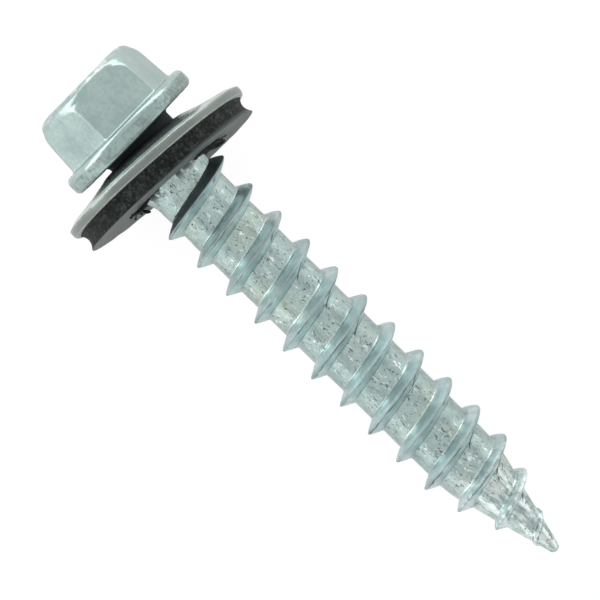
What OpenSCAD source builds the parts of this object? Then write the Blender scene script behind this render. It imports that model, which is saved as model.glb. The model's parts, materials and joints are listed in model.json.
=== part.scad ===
// Metal roofing screw with its sealing washer, lying on a table as it comes to rest.
// The screw leans on the rim of the washer and on one crest of its thread.
// The screw's own axis runs from the head to the point, with zero at the flange's underside.
// The washer's own axis is measured from the widest circle of its steel rim, towards the point.

/* [Head] */
// Hex width across flats, where it meets the flange
hex_flats = 7.65; // [6:0.05:10]
// Height of the hex above the flange
hex_height = 3.68; // [2.4:0.02:6]
// Draft of the six flats, narrowing towards the top
hex_draft = 3; // [0:0.5:6]
// Amount by which each corner of the hex is rolled down
hex_corner_worn = 0.06; // [0.02:0.01:0.2]
// Radius of the rounded edge round the top of the hex
hex_edge_r = 1.1; // [0.4:0.05:1.6]
// Turn of the hex about the screw's axis
hex_turn = 17.3; // [0:0.1:60]
// Diameter of the flange forged under the hex
flange_d = 10.16; // [9.6:0.02:14]
// Thickness of the flange
flange_t = 1.25; // [0.9:0.05:2]
// Radius of the flange's upper edge
flange_top_r = 0.5; // [0.2:0.05:0.6]
// Radius of the flange's lower edge
flange_low_r = 0.25; // [0.1:0.05:0.3]

/* [Shank] */
// Length from the flange's underside to the point
length = 37.7; // [28:0.1:80]
// Diameter of the plain neck
neck_d = 5.12; // [4.7:0.02:5.3]
// Length of the plain neck
neck_length = 3.7; // [3.4:0.05:6]
// Length over which the neck narrows to the root of the thread
neck_step = 0.35; // [0.2:0.05:0.6]
// Radius of the fillet between the flange and the neck
neck_fillet = 0.3; // [0.1:0.05:0.5]

/* [Thread] */
// Outside diameter of the thread
major_d = 6.24; // [6.1:0.02:6.6]
// Diameter at the root of the thread
minor_d = 4.5; // [4:0.02:4.6]
// Distance from one turn to the next
pitch = 2.54; // [1.8:0.02:3]
// Angle between the two flanks of the ridge
flank_angle = 60; // [40:1:70]
// Width of the flat along the crest
crest_w = 0.14; // [0.08:0.02:0.3]
// Distance by which the ridge starts before the end of the neck
start_overlap = 0.24; // [0.1:0.02:0.6]
// Place round the axis where the ridge starts
start_turn = 270; // [0:5:355]
// Share of a turn over which the ridge grows to full height
run_in_turns = 0.5; // [0.25:0.05:1]
// Length of the tapered point
point_length = 7.6; // [5:0.1:12]
// Radius of the blunt end of the point
point_r = 0.3; // [0.2:0.05:0.5]
// Length at the end of the point with no ridge
point_bare = 0.8; // [0.6:0.1:2]

/* [Steel washer] */
// Outside diameter of the steel washer
washer_d = 14.1; // [13:0.1:20]
// Thickness of the steel sheet
steel_t = 0.86; // [0.6:0.02:1.1]
// Slope of the dished sheet
dish_angle = 13.7; // [8:0.1:16]
// Diameter of the hole in the steel, which passes over the thread
steel_hole_d = 6.8; // [6.7:0.05:7.4]

/* [Rubber seal] */
// Distance by which the seal's lip stays inside the steel rim
seal_inset = 0.34; // [0.1:0.02:0.8]
// Depth of the groove round the seal's edge
groove_depth = 0.24; // [0.1:0.02:0.4]
// Thickness of the lip at its edge
lip_t = 0.08; // [0.04:0.02:0.3]
// Distance from the widest circle of the steel rim to the seal's underside
seal_depth = 1.52; // [1.2:0.02:2]
// Diameter of the hole in the rubber, which holds the washer on behind the thread
seal_hole_d = 6; // [5.96:0.02:6.08]
// Radius of the bulge round the inside of the hole
seal_hole_bulge_r = 2.5; // [2:0.1:4]

/* [Rest] */
// Distance from the flange's underside to the middle of the steel rim
washer_at = 1.98; // [1.9:0.02:2.6]
// Turn of the standing washer about the vertical
washer_yaw = 4.4; // [0:0.1:5]
// Tilt of the standing washer from the vertical, with its top towards the point
washer_tip = 2; // [0:0.2:4]
// Sideways shift of the washer on the neck
washer_shift = -0.16; // [-0.2:0.02:0.1]
// Lift of the washer's middle above the screw's axis
washer_lift = 0.1; // [0:0.02:0.14]

/* [Hidden] */
$fn = 96;

// Head
flange_r = flange_d / 2;
head_top = -(flange_t + hex_height);
hex_apothem = hex_flats / 2;
hex_apothem_top = hex_apothem - hex_height * tan(hex_draft);
corner_r = hex_apothem / cos(30) - hex_corner_worn;
corner_r_top = hex_apothem_top / cos(30) - hex_corner_worn;

// Shank and thread
neck_r = neck_d / 2;
major_r = major_d / 2;
minor_r = minor_d / 2;
ridge_h = major_r - minor_r;
flank_slope = tan(flank_angle / 2);
// Height below which the ridge's foot narrows no further
least_flank_h = 0.15;
// Steps in one turn of the thread
turn_steps = 36;
// Depth by which the neck's step ends inside the flat-sided root
step_sink = 0.04;
thread_start = neck_length - start_overlap;
thread_end = length - point_bare;
point_start = length - point_length;
point_slope = (minor_r - point_r) / point_length;
thread_steps = floor(turn_steps * (thread_end - thread_start) / pitch);
shank_top = thread_start - pitch / 2;
point_ring_at = length - point_r;
point_rings = 4;
// Share of full height that the ridge keeps, by place along the point from its start to its end
ridge_fade = [[-0.05, 1], [0.03, 0.86], [0.34, 0.84], [0.65, 0.24], [0.9, 0.08], [0.92, 0]];

// Washer
washer_r = washer_d / 2;
rim_r = steel_t / 2;
rim_at_r = washer_r - rim_r;
washer_h = rim_at_r * cos(washer_tip) + rim_r;
steel_hole_r = steel_hole_d / 2;
sheet_half = rim_r / cos(dish_angle);
dish_rise = tan(dish_angle);
rim_foot = [rim_at_r - rim_r * sin(dish_angle), rim_r * cos(dish_angle)];
seal_r = washer_r - seal_inset;
groove_half = (seal_depth - lip_t - rim_r) / 2;
groove_r = (groove_half ^ 2 + groove_depth ^ 2) / (2 * groove_depth);
seal_hole_r = seal_hole_d / 2;
seal_hole_mid = (seal_depth + sheet_under(steel_hole_r)) / 2;
bond_r = min(seal_r, rim_foot[0]);

// Rest: the lean at which the washer's rim and the last full crest under the axis both touch the table
full_until = point_start + ridge_fade[0][0] * point_length;
crest_under = thread_start + pitch * (360 - start_turn) / 360;
touching_crest = crest_under + pitch * floor((full_until - crest_under) / pitch);
touch_reach = touching_crest - washer_at;
touch_drop = major_r + washer_lift;
lean = atan2(touch_reach, touch_drop) - acos(washer_h / norm([touch_reach, touch_drop]));
axis_height = washer_h - washer_lift * cos(lean) + washer_at * sin(lean);
head_reach = -head_top * cos(lean) + (corner_r_top - hex_edge_r) * sin(lean);
rest_x = (head_reach - length * cos(lean)) / 2;
washer_x = rest_x + washer_at * cos(lean) + washer_lift * sin(lean);

// Middle of the dished sheet at a distance from the washer's axis
function sheet_middle(r) = (r - rim_at_r) * dish_rise;

// Underside of the dished sheet at a distance from the washer's axis
function sheet_under(r) = sheet_middle(r) + sheet_half;

// Radius of the shank at the root of the thread, at a distance along the axis
function root_r(z) = minor_r - max(0, z - point_start) * point_slope;

// Height of the ridge above the root, at a distance along the axis
function ridge_at(z) =
    ridge_h * min(1, max(0, (z - thread_start) / (pitch * run_in_turns)))
    * lookup((z - point_start) / point_length, ridge_fade);

// The four points of the ridge's section at one step: foot, crest, crest, foot
function ridge_section(step) =
    let (
        z = thread_start + pitch * step / turn_steps,
        h = step == 0 || step == thread_steps ? 0 : ridge_at(z),
        turn = 360 * step / turn_steps,
        half_crest = crest_w / 2,
        half_foot = half_crest + max(h, least_flank_h) * flank_slope
    )
    [for (side = [[-half_foot, 0], [-half_crest, h], [half_crest, h], [half_foot, 0]])
        let (r = root_r(z + side[0]) + side[1])
        [r * cos(turn), r * sin(turn), z + side[0]]];

// A ring of points round the axis
function ring(r, z) =
    [for (step = [0 : turn_steps - 1])
        [r * cos(360 * step / turn_steps), r * sin(360 * step / turn_steps), z]];

// Stands the screw's parts up from the axis frame into the lying position
module lying() {
    translate([rest_x, 0, axis_height]) rotate([0, 90 + lean, 0]) children();
}

// Stands the washer's parts on the rim, nearly square to the screw
module standing() {
    translate([washer_x, washer_shift, washer_h])
        rotate([0, 0, -washer_yaw]) rotate([0, 90 + washer_tip, 0]) children();
}

// A slab between two opposite flats of the hex, with their draft
module flats() {
    rotate([90, 0, 0]) linear_extrude(flange_d, center = true)
        polygon([
            [-hex_apothem - flange_t / 2 * tan(hex_draft), -flange_t / 2],
            [hex_apothem + flange_t / 2 * tan(hex_draft), -flange_t / 2],
            [hex_apothem_top, head_top],
            [-hex_apothem_top, head_top]
        ]);
}

// Turned outline that rounds the hex's top edge and its corners
module hex_limit() {
    edge_at = [corner_r_top - hex_edge_r, head_top + hex_edge_r];
    rotate_extrude() {
        polygon([
            [0, 0],
            [corner_r, 0],
            [corner_r, -flange_t],
            [corner_r_top, edge_at[1]],
            [edge_at[0], head_top],
            [0, head_top]
        ]);
        translate(edge_at) circle(hex_edge_r);
    }
}

module hex() {
    rotate([0, 0, hex_turn]) intersection() {
        hex_limit();
        intersection_for (pair = [0 : 2]) rotate([0, 0, 30 + 60 * pair]) flats();
    }
}

// Flange, fillet, neck and the step down to the thread, turned in one outline
module flange_and_neck() {
    low_edge = [flange_r - flange_low_r, -flange_low_r];
    top_edge = [flange_r - flange_top_r, flange_top_r - flange_t];
    step_r = minor_r * cos(180 / turn_steps) - step_sink;
    rotate_extrude() {
        polygon([
            [0, 0],
            [low_edge[0], 0],
            [flange_r, low_edge[1]],
            [flange_r, top_edge[1]],
            [top_edge[0], -flange_t],
            [0, -flange_t]
        ]);
        translate(low_edge) circle(flange_low_r);
        translate(top_edge) circle(flange_top_r);
        difference() {
            translate([0, -flange_t / 2]) square([neck_r + neck_fillet, flange_t / 2 + neck_fillet]);
            translate([neck_r + neck_fillet, neck_fillet]) circle(neck_fillet);
        }
        polygon([
            [0, -flange_t / 2],
            [neck_r, -flange_t / 2],
            [neck_r, neck_length],
            [step_r, neck_length + neck_step],
            [0, neck_length + neck_step]
        ]);
    }
}

// The threaded shank as one closed surface: the ridge's section winds down the shank, each turn's root band
// joins it to the next turn, and plain rings close it inside the neck and round the point
module threaded_shank() {
    ridge = [for (step = [0 : thread_steps]) each ridge_section(step)];
    top_at = len(ridge);
    point_at = top_at + turn_steps;
    point_tip = point_at + turn_steps * point_rings;
    point_rounds = [
        for (k = [0 : point_rings - 1])
            each ring(
                root_r(point_ring_at) * cos(90 * k / point_rings),
                point_ring_at + point_r * sin(90 * k / point_rings)
            )
    ];
    points = [
        each ridge,
        each ring(root_r(shank_top), shank_top),
        each point_rounds,
        [0, 0, length],
        [0, 0, shank_top]
    ];
    last = thread_steps;
    last_turn = last - turn_steps;

    // Indices of a ridge point, a point on the closing ring at the top, and one on a ring at the point
    function at(step, k) = 4 * step + k;
    function top(step) = top_at + step % turn_steps;
    function round_at(k, step) = point_at + turn_steps * k + step % turn_steps;
    function pair(a, b, c, d) = [[a, b, c], [a, c, d]];

    faces = [
        // Two flanks and the crest
        for (step = [0 : last - 1], k = [0 : 2])
            each pair(at(step, k), at(step, k + 1), at(step + 1, k + 1), at(step + 1, k)),
        // Root band between one turn and the next
        for (step = [0 : last_turn - 1])
            each pair(
                at(step, 3), at(step + turn_steps, 0), at(step + 1 + turn_steps, 0), at(step + 1, 3)
            ),
        // Root above the first turn, up to the top ring
        for (step = [0 : turn_steps - 2])
            each pair(top(step), at(step, 0), at(step + 1, 0), top(step + 1)),
        [top(turn_steps - 1), at(turn_steps - 1, 0), top(0)],
        for (k = [0 : 2])
            [at(turn_steps - 1, 0), at(0, k + 1), at(0, k)],
        [at(turn_steps - 1, 0), at(0, 0), top(0)],
        [at(turn_steps - 1, 0), at(turn_steps, 0), at(0, 3)],
        // Root below the last turn, down to the first ring of the point
        for (step = [last_turn + 1 : last - 1])
            each pair(at(step, 3), round_at(0, step), round_at(0, step + 1), at(step + 1, 3)),
        [round_at(0, last_turn), round_at(0, last_turn + 1), at(last_turn + 1, 3)],
        [at(last, 3), round_at(0, last), at(last_turn + 1, 3)],
        for (k = [0 : 2])
            [at(last, k), at(last, k + 1), at(last_turn + 1, 3)],
        [at(last_turn, 3), at(last, 0), at(last_turn + 1, 3)],
        // Rounded point and flat top
        for (k = [0 : point_rings - 2], step = [0 : turn_steps - 1])
            each pair(round_at(k, step), round_at(k + 1, step), round_at(k + 1, step + 1), round_at(k, step + 1)),
        for (step = [0 : turn_steps - 1])
            [round_at(point_rings - 1, step), point_tip, round_at(point_rings - 1, step + 1)],
        for (step = [0 : turn_steps - 1])
            [top(step), top(step + 1), point_tip + 1]
    ];
    rotate([0, 0, start_turn]) polyhedron(points, faces);
}

// One forging: hex, flange, neck and rolled thread
module screw() {
    color("#b4bfbd") lying() {
        hex();
        flange_and_neck();
        threaded_shank();
    }
}

// Round edge of the dished sheet
module rim() {
    translate([rim_at_r, 0]) circle(rim_r);
}

// Dished steel washer with a round rim
module steel_washer() {
    color("#8f9694") standing() rotate_extrude() {
        polygon([
            [steel_hole_r, sheet_middle(steel_hole_r) - sheet_half],
            2 * [rim_at_r, 0] - rim_foot,
            rim_foot,
            [steel_hole_r, sheet_under(steel_hole_r)]
        ]);
        rim();
    }
}

// Rubber seal bonded under the steel, with a grooved edge and a bulged hole
module rubber_seal() {
    color("#2b2d2d") standing() rotate_extrude() {
        intersection() {
            difference() {
                polygon([
                    [seal_hole_r, sheet_under(seal_hole_r)],
                    [bond_r, sheet_under(bond_r)],
                    if (seal_r > bond_r) [seal_r, 0],
                    [seal_r, seal_depth],
                    [seal_hole_r, seal_depth]
                ]);
                rim();
                translate([seal_r - groove_depth + groove_r, rim_r + groove_half]) circle(groove_r);
            }
            union() {
                translate([seal_hole_r + seal_hole_bulge_r, seal_hole_mid]) circle(seal_hole_bulge_r);
                translate([seal_hole_r + seal_hole_bulge_r, -washer_r]) square([washer_r, 2 * washer_r]);
            }
        }
    }
}

screw();
steel_washer();
rubber_seal();
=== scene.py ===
"""Looks of a metal roofing screw with its sealing washer, lying on a white table.

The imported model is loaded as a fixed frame, and the visible pieces are modelled in its place:
the screw in zinc-plated steel, the dished steel washer, the rubber seal under it and the torn
shreds of rubber at the seal's hole.
"""

import json
import math
from contextlib import contextmanager
from types import SimpleNamespace

import bpy
import numpy as np
from bpy.props import FloatProperty, FloatVectorProperty, IntProperty, PointerProperty
from mathutils import Matrix, Vector, noise


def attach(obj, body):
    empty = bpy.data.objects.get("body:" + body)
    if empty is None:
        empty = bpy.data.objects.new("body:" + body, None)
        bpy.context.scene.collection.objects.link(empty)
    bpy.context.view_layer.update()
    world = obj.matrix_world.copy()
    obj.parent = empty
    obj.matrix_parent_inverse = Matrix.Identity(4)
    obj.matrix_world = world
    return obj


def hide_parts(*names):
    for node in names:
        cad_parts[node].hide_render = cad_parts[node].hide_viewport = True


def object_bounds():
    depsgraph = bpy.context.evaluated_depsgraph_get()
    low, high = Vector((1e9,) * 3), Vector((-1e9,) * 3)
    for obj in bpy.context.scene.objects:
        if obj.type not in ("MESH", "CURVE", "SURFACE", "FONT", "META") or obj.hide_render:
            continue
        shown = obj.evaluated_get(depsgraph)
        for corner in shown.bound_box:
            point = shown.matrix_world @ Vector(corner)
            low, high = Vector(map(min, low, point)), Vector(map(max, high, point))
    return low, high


bl_info = {
    "name": "Roofing screw",
    "version": (1, 0, 0),
    "blender": (4, 5, 0),
    "location": "View3D > Sidebar > Roofing screw",
    "description": "Models a hex washer head roofing screw with its steel and rubber washer",
    "category": "Add Mesh",
}

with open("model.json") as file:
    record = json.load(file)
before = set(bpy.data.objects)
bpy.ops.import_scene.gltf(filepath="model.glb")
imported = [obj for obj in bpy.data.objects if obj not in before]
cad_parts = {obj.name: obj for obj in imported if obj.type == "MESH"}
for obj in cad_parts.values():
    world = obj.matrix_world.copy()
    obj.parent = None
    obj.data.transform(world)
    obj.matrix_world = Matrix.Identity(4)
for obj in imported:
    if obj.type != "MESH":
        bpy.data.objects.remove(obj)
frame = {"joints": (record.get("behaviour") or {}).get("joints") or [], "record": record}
CAD_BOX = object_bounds()

MM = 0.001
# Distance within which vertices are merged, and the length cut off the very end of the point
WELD = 1e-7
END_CUT = 0.002 * MM
MOUNTS = {mount["name"]: mount for mount in frame["record"]["mounts"]}
SCREW_AXIS = Vector(frame["joints"][0]["axis"]).normalized()
WASHER_AXIS = Vector(MOUNTS["seal_face"]["axis"]).normalized()
LEAN = math.asin(-SCREW_AXIS.z)


# Sizes and colours


def length(name, description, millimetres):
    """A length property, written in millimetres."""
    return FloatProperty(
        name=name, description=description, default=millimetres * MM, unit="LENGTH", precision=5
    )


def angle(name, description, degrees):
    """An angle property, written in degrees."""
    return FloatProperty(
        name=name, description=description, default=math.radians(degrees), subtype="ANGLE"
    )


def share(name, description, value):
    """A property for a plain number."""
    return FloatProperty(name=name, description=description, default=value)


def colour(name, description, value):
    """A colour property."""
    return FloatVectorProperty(
        name=name, description=description, default=value, subtype="COLOR", min=0, max=1
    )


class HeadSizes(bpy.types.PropertyGroup):
    """Hex and flange."""

    hex_flats: length("Hex", "Width across flats where the hex meets the flange", 7.65)
    hex_height: length("Hex height", "Height of the hex above the flange", 3.68)
    hex_draft: angle("Draft", "Draft of the six flats", 3)
    hex_turn: angle("Hex turn", "Turn of the hex about the screw's axis", 17.3)
    hex_foot: length("Foot", "Fillet between the hex and the flange", 0.2)
    corner_d: length("Corners", "Width across the worn corners at the flange", 8.95)
    corner_draft: angle("Corner draft", "Slope of the worn corners", 3)
    edge_r: length("Top edge", "Radius of the round edge of the top", 1.5)
    corner_blend: length("Corner blend", "Rounding of the six corners at their foot", 0.12)
    worn_blend: length("Worn corners", "Rounding of the six corners near the top", 0.95)
    worn_depth: length("Worn depth", "Depth below the top down to which the corners are worn", 0.58)
    worn_fade: length("Worn fade", "Depth over which that wear fades out", 0.42)
    edge_blend: length("Edge blend", "Rounding between the flats and the round edge", 0.3)
    flange_d: length("Flange", "Diameter of the flange", 10.16)
    flange_t: length("Flange thickness", "Thickness of the flange", 1.25)
    flange_top_r: length("Upper edge", "Radius of the flange's upper edge", 0.42)
    flange_low_r: length("Lower edge", "Radius of the flange's lower edge", 0.36)


class ShankSizes(bpy.types.PropertyGroup):
    """Neck, thread and point."""

    length: length("Length", "Length from the flange's underside to the point", 37.7)
    neck_d: length("Neck", "Diameter of the plain neck", 5.12)
    neck_length: length("Neck length", "Length of the plain neck", 3.7)
    neck_run: length("Neck run", "Length over which the neck narrows to the root", 1.6)
    neck_fillet: length("Neck fillet", "Fillet between the flange and the neck", 0.3)
    major_d: length("Thread", "Outside diameter of the thread", 6.24)
    minor_d: length("Root", "Diameter at the root of the thread", 4.5)
    pitch: length("Pitch", "Distance from one turn to the next", 2.54)
    ridge_w: length("Ridge", "Width of the ridge at the root", 1.02)
    crest_r: length("Crest", "Rounding of the worn crest", 0.08)
    flank_bulge: share("Flanks", "Bulge of the flanks: 0 is straight", 0.12)
    root_fillet: length("Root fillet", "Height over which the flanks run into the root", 0.1)
    thread_start: length("Thread start", "Place along the axis where the ridge starts", 3.46)
    start_turn: angle("Start turn", "Place round the axis where the ridge starts", 270)
    run_in_turns: share("Run-in", "Turns over which the ridge grows to full height", 0.5)
    point_length: length("Point", "Length of the tapered point", 7.6)
    cone_blend: length("Cone blend", "Rounding where the shank turns into the point", 0.2)
    point_r: length("Point end", "Radius of the cone where the point ends", 0.3)
    point_round: length("Point rounding", "Radius of the blunt end", 0.42)
    end_blend: length("End blend", "Rounding where the point turns into its blunt end", 0.08)


class WasherSizes(bpy.types.PropertyGroup):
    """Steel washer and rubber seal."""

    washer_d: length("Washer", "Outside diameter of the steel washer", 14.1)
    steel_t: length("Steel", "Thickness of the steel sheet", 0.86)
    dish_slope: share("Dish slope", "Slope of the dished sheet next to its rim", 0.17)
    dish_curve: share("Dish curve", "Steepening of the dish towards its hole, per metre", 22)
    dish_angle: angle("Seal slope", "Slope of the face that the rubber is bonded to", 13.7)
    steel_hole_d: length("Steel hole", "Diameter of the hole in the steel", 6.5)
    rim_power: share("Rim", "Squareness of the rim's lower edge: 1 is a circle", 0.66)
    shoulder: share("Shoulder", "Height of the rim's upper edge, as a share of half the sheet", 0.45)
    hole_edge_r: length("Hole edge", "Radius of the hole's edges", 0.16)
    seal_inset: length("Seal inset", "Distance by which the lip stays inside the steel rim", 0.34)
    groove_depth: length("Groove", "Depth of the groove round the seal's edge", 0.24)
    lip_t: length("Lip", "Thickness of the lip at its edge", 0.08)
    seal_depth: length("Seal depth", "Distance from the rim's middle to the seal's underside", 1.52)
    seal_puff: length("Seal puff", "Height of the worn rubber above its flat face", 0.08)
    seal_hole_d: length("Seal hole", "Diameter of the hole in the rubber", 6)
    seal_hole_bulge_r: length("Hole bulge", "Radius of the bulge round the hole", 2.5)
    shred_r: length("Shreds", "Radius of a torn shred where it starts", 0.14)


class FinishColours(bpy.types.PropertyGroup):
    """Colours of the finishes."""

    zinc_light: colour("Zinc light", "Clean zinc plating", (0.465, 0.585, 0.56))
    # Also the darker patches of the flanks' painted sheen
    zinc_dark: colour("Zinc dark", "Dull zinc plating", (0.36, 0.47, 0.455))
    # Also the painted shade on the crests
    zinc_dull_and_shade: colour("Zinc dull", "Dull plating on the flange and the crests", (0.22, 0.275, 0.255))
    zinc_yellow: colour("Zinc yellow", "Passivation tint on the plating", (0.52, 0.58, 0.43))
    zinc_flank: colour("Zinc flank", "Smooth plating on the flanks of the thread", (0.565, 0.71, 0.725))
    # Also the painted highlights on the flanks, on the point and along the ridge's foot
    zinc_fleck_and_highlight: colour("Zinc fleck", "Bright flecks in the roots of the thread", (0.88, 0.95, 0.93))
    # Also the painted shade on the neck and the painted dark reflection on the first flank
    scratch_and_shade: colour("Scratch", "Scratches, pits and laps in the plating", (0.015, 0.022, 0.026))
    steel: colour("Washer steel", "Dull steel of the washer", (0.68, 0.755, 0.73))
    steel_rim: colour("Washer rim", "Stained rim of the washer", (0.20, 0.23, 0.215))
    # Painted highlights along the rim's edges
    steel_edge_highlight: colour("Washer edges", "Rubbed edges of the washer's rim", (0.72, 0.74, 0.70))
    # Painted shade: the dark gap under the flange, mirrored round the washer's hole
    steel_hole_shade: colour("Washer stain", "Dark stain on the washer round its hole", (0.045, 0.085, 0.145))
    rubber: colour("Rubber", "Black rubber", (0.004, 0.006, 0.005))
    rubber_grey: colour("Rubber bloom", "Grey bloom on the rubber", (0.095, 0.113, 0.11))


class StageSettings(bpy.types.PropertyGroup):
    """Camera and floor."""

    aim_x: length("Aim X", "Place along the screw that the camera looks at", -1.511)
    aim_y: length("Aim Y", "Place across the screw that the camera looks at", -0.037)
    aim_z: length("Aim Z", "Height above the table that the camera looks at", 5.18)
    camera_far: length("Camera distance", "Distance of the camera from its aim", 250)
    camera_tilt: angle("Camera tilt", "Tilt of the camera from the vertical, towards the point", 3.75)
    camera_turn: angle("Camera turn", "Turn of the camera about its line of sight", 44.35)
    lens: share("Lens", "Focal length for a 36 mm sensor, in millimetres", 235.6)
    floor_size: length("Floor", "Width of the floor", 3000)


class RoofingScrew(bpy.types.PropertyGroup):
    """All the sizes and colours."""

    head: PointerProperty(type=HeadSizes)
    shank: PointerProperty(type=ShankSizes)
    washer: PointerProperty(type=WasherSizes)
    finish: PointerProperty(type=FinishColours)
    stage: PointerProperty(type=StageSettings)
    head_steps: IntProperty(name="Head steps", description="Steps round the head", default=288)
    turn_steps: IntProperty(name="Turn steps", description="Steps round the thread", default=112)
    washer_steps: IntProperty(name="Washer steps", description="Steps round the washer", default=240)


# Modelling


def deselect_all():
    """Leaves no object selected."""
    bpy.ops.object.select_all(action="DESELECT")


def select_only(*pieces):
    """Selects these pieces and nothing else, and makes the first one active."""
    deselect_all()
    for piece in pieces:
        piece.select_set(True)
    bpy.context.view_layer.objects.active = pieces[0]


@contextmanager
def editing():
    """Edit mode for the active piece, with all of it selected."""
    bpy.ops.object.mode_set(mode="EDIT")
    bpy.ops.mesh.select_all(action="SELECT")
    yield
    bpy.ops.object.mode_set(mode="OBJECT")


def trace(name, points):
    """A line of edges: one vertex, extruded from point to point."""
    deselect_all()
    bpy.ops.mesh.primitive_plane_add(size=MM)
    piece = bpy.context.object
    piece.name = name
    piece.data.name = name
    with editing():
        bpy.ops.mesh.merge(type="CENTER")
        bpy.ops.transform.translate(value=points[0])
        for here, after in zip(points, points[1:]):
            step = [end - start for start, end in zip(here, after)]
            bpy.ops.mesh.extrude_vertices_move(TRANSFORM_OT_translate={"value": step})
    return piece


def trace_outline(name, outline):
    """A line through points of (radius, height), in the plane through the Z axis."""
    return trace(name, [(radius, 0, height) for radius, height in outline])


def weld():
    """Merges the active piece's doubled vertices and turns its faces outwards."""
    with editing():
        bpy.ops.mesh.remove_doubles(threshold=WELD)
        bpy.ops.mesh.normals_make_consistent(inside=False)


def turn_on_lathe(name, outline, steps):
    """Spins an outline of (radius, height) points about the Z axis."""
    piece = trace_outline(name, outline)
    with editing():
        bpy.ops.mesh.spin(steps=steps, angle=math.tau, center=(0, 0, 0), axis=(0, 0, 1))
    weld()
    return piece


def cut(height, keep_above, fill):
    """Cuts the active piece at a height and drops one side."""
    with editing():
        bpy.ops.mesh.bisect(
            plane_co=(0, 0, height),
            plane_no=(0, 0, 1),
            use_fill=fill,
            clear_inner=keep_above,
            clear_outer=not keep_above,
            threshold=WELD,
        )


def read_vectors(rows, field):
    """One vector from each row of a mesh's data, as an array."""
    flat = np.empty(3 * len(rows), dtype=np.float32)
    rows.foreach_get(field, flat)
    return flat.reshape(-1, 3).astype(float)


def read_points(piece):
    """The piece's vertices as an array."""
    return read_vectors(piece.data.vertices, "co")


def write_points(piece, points):
    """Moves the piece's vertices."""
    piece.data.vertices.foreach_set("co", points.astype(np.float32).ravel())
    piece.data.update()


def write_attribute(piece, name, values):
    """Keeps a number on each vertex for the material."""
    layer = piece.data.attributes.new(name, "FLOAT", "POINT")
    layer.data.foreach_set("value", values.astype(np.float32))


def lumps(points, size, seed):
    """Smooth noise from -1 to 1 at each point, with lumps of about that size."""
    offset = Vector((seed, 2 * seed, -seed))
    return np.array([noise.noise(Vector(point) / size + offset) for point in points])


def dents(points, *layers):
    """Layers of lumps added up: each has its height and size in millimetres, and its seed."""
    return sum(height * lumps(points, size * MM, seed) for height, size, seed in layers)


def push_out(piece, heights):
    """Moves each vertex along its normal by its own height in millimetres."""
    normals = read_vectors(piece.data.vertex_normals, "vector")
    write_points(piece, read_points(piece) + normals * (heights * MM)[:, None])


def arc(centre, radius, start, end, steps):
    """Points along an arc, from one angle to another in degrees."""
    turns = np.radians(np.linspace(start, end, steps + 1))
    return [(centre[0] + radius * math.cos(t), centre[1] + radius * math.sin(t)) for t in turns]


def soft_min(a, b, width):
    """The smaller of two values, with a rounded change from one to the other."""
    mix = np.clip(0.5 + 0.5 * (b - a) / width, 0, 1)
    return b + (a - b) * mix - width * mix * (1 - mix)


def soft_max(a, b, width):
    """The larger of two values, with a rounded change from one to the other."""
    return -soft_min(-a, -b, width)


def place(piece, origin, axis):
    """Lays a piece modelled round the Z axis along its axis, with its X direction downwards."""
    across = axis.cross(Vector((0, 0, -1))).normalized()
    down = across.cross(axis)
    turn = Matrix((down, across, axis)).transposed().to_4x4()
    select_only(piece)
    piece.matrix_world = Matrix.Translation(origin) @ turn
    bpy.ops.object.transform_apply(location=True, rotation=True, scale=True)


def finish_piece(piece, body, material, smooth_degrees):
    """Smooths a piece, gives it its material and ties it to its body."""
    select_only(piece)
    bpy.ops.object.shade_smooth_by_angle(angle=math.radians(smooth_degrees))
    piece.data.materials.clear()
    piece.data.materials.append(material)
    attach(piece, body)


def check_closed(piece):
    """Raises an error if the piece's surface has an open edge."""
    uses = np.zeros(len(piece.data.edges), dtype=int)
    loops = np.empty(len(piece.data.loops), dtype=np.int32)
    piece.data.loops.foreach_get("edge_index", loops)
    np.add.at(uses, loops, 1)
    if (uses != 2).any():
        raise RuntimeError(f"{piece.name} has {(uses != 2).sum()} open edges")


# Screw


# Angles of the dome's rings above the flange, in degrees: close at the round edge and at the foot
DOME_RISES = (
    *(90, 75, 62, 55, 52.5),
    *np.linspace(51, 28, 30),
    *(25, 22, 18, 14, 10, 7, 4.5, 3.2, 2.4, 1.7, 1.1, 0.6, 0.25, 0),
)


def head_outline(head, shank):
    """Domed blank of the hex, the flange and the start of the neck, as (radius, height) points."""
    flange_r = head.flange_d / 2
    neck_r = shank.neck_d / 2
    dome_r = head.hex_flats
    points = []
    for rise in np.radians(DOME_RISES):
        points.append((dome_r * math.cos(rise), -head.flange_t - dome_r * math.sin(rise)))
    points[0] = (0, points[0][1])
    top_centre = (flange_r - head.flange_top_r, head.flange_top_r - head.flange_t)
    points += arc(top_centre, head.flange_top_r, -90, 0, 10)
    points += [(flange_r, -0.5 * head.flange_t), (flange_r, -0.35 * head.flange_t)]
    low_centre = (flange_r - head.flange_low_r, -head.flange_low_r)
    points += arc(low_centre, head.flange_low_r, 0, 90, 6)
    fillet_r = shank.neck_fillet
    points += [(0.75 * flange_r, 0), (0.6 * flange_r, 0)]
    points += arc((neck_r + fillet_r, fillet_r), fillet_r, -90, -180, 6)
    points.append((neck_r, 1.5 * fillet_r))
    return points


def reach_of_flats(line, head, blend):
    """Distance from the middle of the hex's foot to its six drafted flats, along each line."""
    reach = np.ones(len(line))
    for flat in range(6):
        turn = head.hex_turn + math.radians(30 + 60 * flat)
        out = line[:, 0] * math.cos(turn) + line[:, 1] * math.sin(turn)
        out += line[:, 2] * math.tan(head.hex_draft)
        reach = soft_min(reach, head.hex_flats / 2 / np.maximum(out, 0.001), blend)
    return reach


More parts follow.
